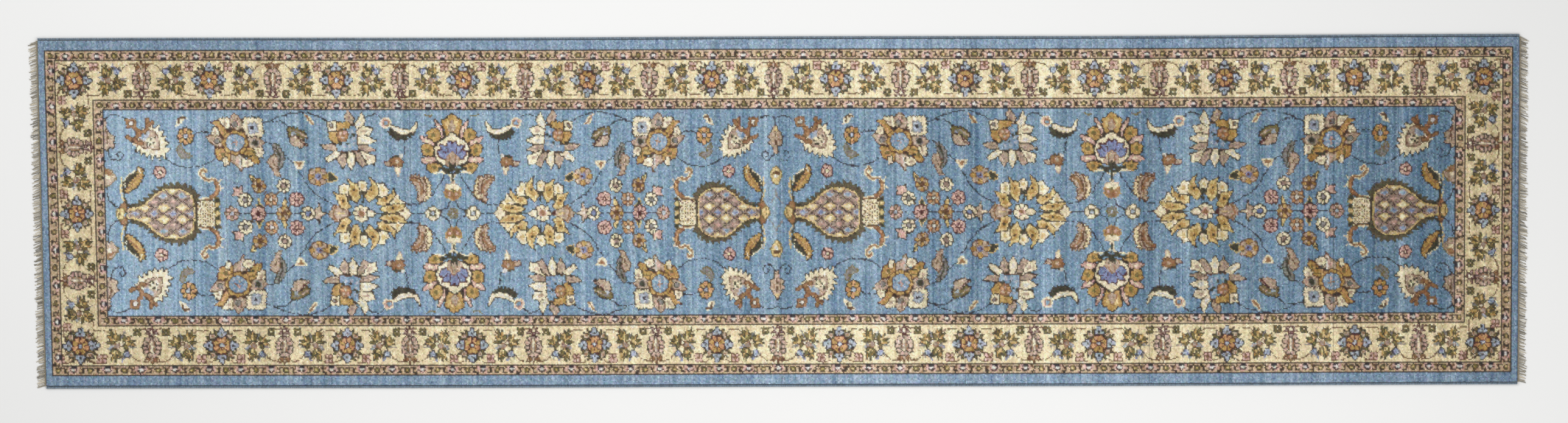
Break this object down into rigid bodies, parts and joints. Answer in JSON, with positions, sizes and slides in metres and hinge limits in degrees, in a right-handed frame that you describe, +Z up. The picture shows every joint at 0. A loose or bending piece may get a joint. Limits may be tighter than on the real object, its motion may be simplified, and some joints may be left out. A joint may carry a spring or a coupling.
{
  "type": "runner rug",
  "caption": "Long narrow hand-knotted wool runner with a floral field, three patterned borders, corded edges and short fringes; each end folds over onto the pile.",
  "frame": {"origin": "on the floor under the middle of the rug", "axes": "+X along the rug, +Y across it, +Z up out of the pile"},
  "size_m": [3.4664, 0.8146, 0.0085],
  "materials": {
    "field_wool": "clipped wool pile, sky blue with streaks and coloured flowers",
    "border_wool": "clipped wool pile, ivory with coloured flowers",
    "guard_wool": "clipped wool pile, rosy tan with small flowers",
    "band_wool": "clipped wool pile, plain blue",
    "edge_wool": "overcast wool yarn, blue",
    "ground_cotton": "plain-woven undyed cotton",
    "fringe_cotton": "twisted undyed cotton warps"
  },
  "bodies": {
    "middle": {"ground_middle": "ground_cotton", "field_middle": "field_wool", "edge_cord_front_middle": "ground_cotton", "edge_wrap_front_middle": "edge_wool", "edge_cord_back_middle": "ground_cotton", "edge_wrap_back_middle": "edge_wool", "outer_band_front": "band_wool", "outer_band_back": "band_wool", "outer_guard_front": "guard_wool", "outer_guard_back": "guard_wool", "main_border_front": "border_wool", "main_border_back": "border_wool", "inner_guard_front": "guard_wool", "inner_guard_back": "guard_wool"},
    "left_end": {"ground_left": "ground_cotton", "field_left": "field_wool", "edge_cord_front_left": "ground_cotton", "edge_wrap_front_left": "edge_wool", "edge_cord_back_left": "ground_cotton", "edge_wrap_back_left": "edge_wool", "outer_band_left": "band_wool", "outer_guard_left": "guard_wool", "main_border_left": "border_wool", "inner_guard_left": "guard_wool", "end_web_left": "ground_cotton", "fringe_left": "fringe_cotton"},
    "right_end": {"ground_right": "ground_cotton", "field_right": "field_wool", "edge_cord_front_right": "ground_cotton", "edge_wrap_front_right": "edge_wool", "edge_cord_back_right": "ground_cotton", "edge_wrap_back_right": "edge_wool", "outer_band_right": "band_wool", "outer_guard_right": "guard_wool", "main_border_right": "border_wool", "inner_guard_right": "guard_wool", "end_web_right": "ground_cotton", "fringe_right": "fringe_cotton"}
  },
  "joints": [
    {"name": "left_end_fold", "type": "hinge", "parent": "middle", "child": "left_end", "pos_m": [-0.8792, 0, 0.0095], "axis": [0, 1, 0], "range_deg": [0, 180]},
    {"name": "right_end_fold", "type": "hinge", "parent": "middle", "child": "right_end", "pos_m": [0.8792, 0, 0.0095], "axis": [0, -1, 0], "range_deg": [0, 180]}
  ]
}
